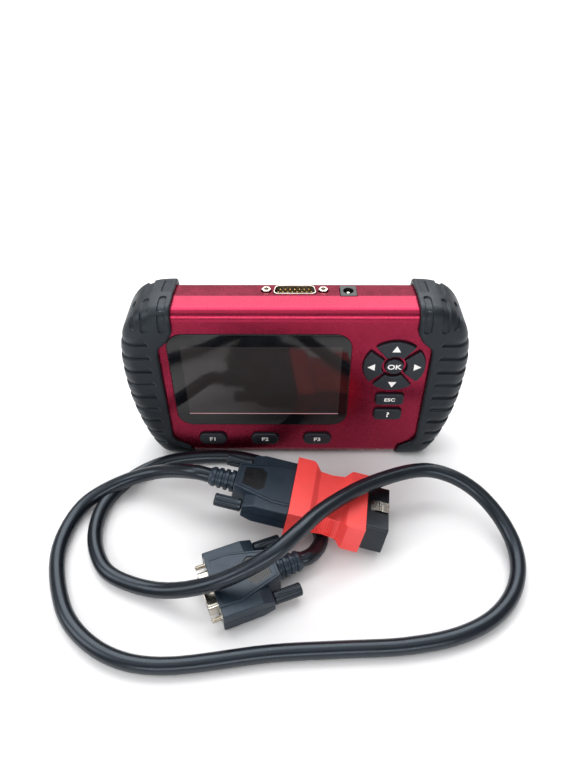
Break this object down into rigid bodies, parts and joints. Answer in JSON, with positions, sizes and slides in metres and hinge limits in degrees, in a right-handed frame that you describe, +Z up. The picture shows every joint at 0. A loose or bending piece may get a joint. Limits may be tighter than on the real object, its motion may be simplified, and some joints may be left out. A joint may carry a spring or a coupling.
{
  "type": "obd code reader",
  "caption": "Handheld vehicle fault-code reader with rubber end boots, a display window, rubber keys, top connectors, a data cable with D-sub plugs and an OBD adapter.",
  "frame": {"origin": "under the middle of the handset, on the surface that its two boots stand on", "axes": "+X across the front of the handset to its right, +Y from its front to its back, +Z up"},
  "size_m": [0.2745, 0.1885, 0.1206],
  "materials": {
    "anodised_red": "metallic red anodised aluminium",
    "black_plastic": "black moulding",
    "board": "printed circuit board",
    "boot_rubber": "matt black moulded rubber",
    "cable_jacket": "satin black cable jacket",
    "display_black": "black gloss window and display",
    "foil": "polyimide flexible lead",
    "key_rubber": "smooth black rubber",
    "nickel": "nickel plated steel",
    "plug_plastic": "dark grey moulding",
    "red_plastic": "bright red moulding"
  },
  "bodies": {
    "handset_and_lead": {"body_shell": "anodised_red", "end_cap_left": "black_plastic", "boot_left": "boot_rubber", "cap_screw_left_lower": "nickel", "cap_screw_left_upper": "nickel", "end_cap_right": "black_plastic", "boot_right": "boot_rubber", "cap_screw_right_lower": "nickel", "cap_screw_right_upper": "nickel", "display_glass": "display_black", "display_panel": "display_black", "display_ribbon": "foil", "keypad_mat": "key_rubber", "keypad_board": "board", "main_board": "board", "processor": "black_plastic", "memory_chip": "black_plastic", "bus_transceiver": "black_plastic", "power_inductor": "black_plastic", "buzzer": "black_plastic", "port_board": "board", "board_header": "black_plastic", "port_shell": "nickel", "port_insulator": "black_plastic", "port_pins": "nickel", "port_jackscrew_left": "nickel", "port_jackscrew_right": "nickel", "dc_jack": "black_plastic", "dc_jack_pin": "nickel", "cable": "cable_jacket", "car_plug_hood": "plug_plastic", "car_plug_relief": "plug_plastic", "car_plug_shell": "nickel", "car_plug_insert": "black_plastic", "handset_plug_hood": "plug_plastic", "handset_plug_relief": "plug_plastic", "handset_plug_shell": "nickel", "handset_plug_insert": "black_plastic"},
    "key_f1_body": {"key_f1": "key_rubber"},
    "key_f2_body": {"key_f2": "key_rubber"},
    "key_f3_body": {"key_f3": "key_rubber"},
    "key_up_body": {"key_up": "key_rubber"},
    "key_down_body": {"key_down": "key_rubber"},
    "key_left_body": {"key_left": "key_rubber"},
    "key_right_body": {"key_right": "key_rubber"},
    "key_ok_body": {"key_ok": "key_rubber"},
    "key_esc_body": {"key_esc": "key_rubber"},
    "key_help_body": {"key_help": "key_rubber"},
    "car_plug_screw_left_body": {"car_plug_screw_left": "plug_plastic"},
    "car_plug_screw_right_body": {"car_plug_screw_right": "plug_plastic"},
    "handset_plug_screw_left_body": {"handset_plug_screw_left": "plug_plastic"},
    "handset_plug_screw_right_body": {"handset_plug_screw_right": "plug_plastic"},
    "adapter_end": {"adapter_body": "red_plastic", "adapter_port": "black_plastic", "adapter_nut_near": "nickel", "adapter_nut_far": "nickel", "obd_shroud": "black_plastic", "obd_pins": "nickel"},
    "clip_spring": {"obd_clip": "nickel"}
  },
  "joints": [
    {"name": "key_f1_press", "type": "slide", "parent": "handset_and_lead", "child": "key_f1_body", "axis": [0, 1, 0], "range_m": [0, 0.0012], "stiffness_N_per_m": 900, "springref_m": -0.0006},
    {"name": "key_f2_press", "type": "slide", "parent": "handset_and_lead", "child": "key_f2_body", "axis": [0, 1, 0], "range_m": [0, 0.0012], "stiffness_N_per_m": 900, "springref_m": -0.0006},
    {"name": "key_f3_press", "type": "slide", "parent": "handset_and_lead", "child": "key_f3_body", "axis": [0, 1, 0], "range_m": [0, 0.0012], "stiffness_N_per_m": 900, "springref_m": -0.0006},
    {"name": "key_up_press", "type": "slide", "parent": "handset_and_lead", "child": "key_up_body", "axis": [0, 1, 0], "range_m": [0, 0.0012], "stiffness_N_per_m": 900, "springref_m": -0.0006},
    {"name": "key_down_press", "type": "slide", "parent": "handset_and_lead", "child": "key_down_body", "axis": [0, 1, 0], "range_m": [0, 0.0012], "stiffness_N_per_m": 900, "springref_m": -0.0006},
    {"name": "key_left_press", "type": "slide", "parent": "handset_and_lead", "child": "key_left_body", "axis": [0, 1, 0], "range_m": [0, 0.0012], "stiffness_N_per_m": 900, "springref_m": -0.0006},
    {"name": "key_right_press", "type": "slide", "parent": "handset_and_lead", "child": "key_right_body", "axis": [0, 1, 0], "range_m": [0, 0.0012], "stiffness_N_per_m": 900, "springref_m": -0.0006},
    {"name": "key_ok_press", "type": "slide", "parent": "handset_and_lead", "child": "key_ok_body", "axis": [0, 1, 0], "range_m": [0, 0.0012], "stiffness_N_per_m": 900, "springref_m": -0.0006},
    {"name": "key_esc_press", "type": "slide", "parent": "handset_and_lead", "child": "key_esc_body", "axis": [0, 1, 0], "range_m": [0, 0.0012], "stiffness_N_per_m": 900, "springref_m": -0.0006},
    {"name": "key_help_press", "type": "slide", "parent": "handset_and_lead", "child": "key_help_body", "axis": [0, 1, 0], "range_m": [0, 0.0012], "stiffness_N_per_m": 900, "springref_m": -0.0006},
    {"name": "car_plug_screw_left_turn", "type": "hinge", "parent": "handset_and_lead", "child": "car_plug_screw_left_body", "pos_m": [0.00293, -0.05391, 0.0203], "axis": [-0.9721, 0.1574, 0.1736], "continuous": true},
    {"name": "car_plug_screw_right_turn", "type": "hinge", "parent": "handset_and_lead", "child": "car_plug_screw_right_body", "pos_m": [-0.00188, -0.08674, 0.02316], "axis": [-0.9721, 0.1574, 0.1736], "continuous": true},
    {"name": "handset_plug_screw_left_turn", "type": "hinge", "parent": "handset_and_lead", "child": "handset_plug_screw_left_body", "pos_m": [-0.03844, -0.13943, 0.0075], "axis": [0.9265, 0.3762, 0], "continuous": true},
    {"name": "handset_plug_screw_right_turn", "type": "hinge", "parent": "handset_and_lead", "child": "handset_plug_screw_right_body", "pos_m": [-0.05096, -0.10857, 0.0075], "axis": [0.9265, 0.3762, 0], "continuous": true},
    {"name": "adapter_pull", "type": "slide", "parent": "handset_and_lead", "child": "adapter_end", "axis": [0.9721, -0.1574, -0.1736], "range_m": [0, 0.006]},
    {"name": "clip_press", "type": "slide", "parent": "adapter_end", "child": "clip_spring", "axis": [-0.1847, -0.0584, -0.9811], "range_m": [0, 0.0002], "stiffness_N_per_m": 1500, "springref_m": -0.0003}
  ]
}
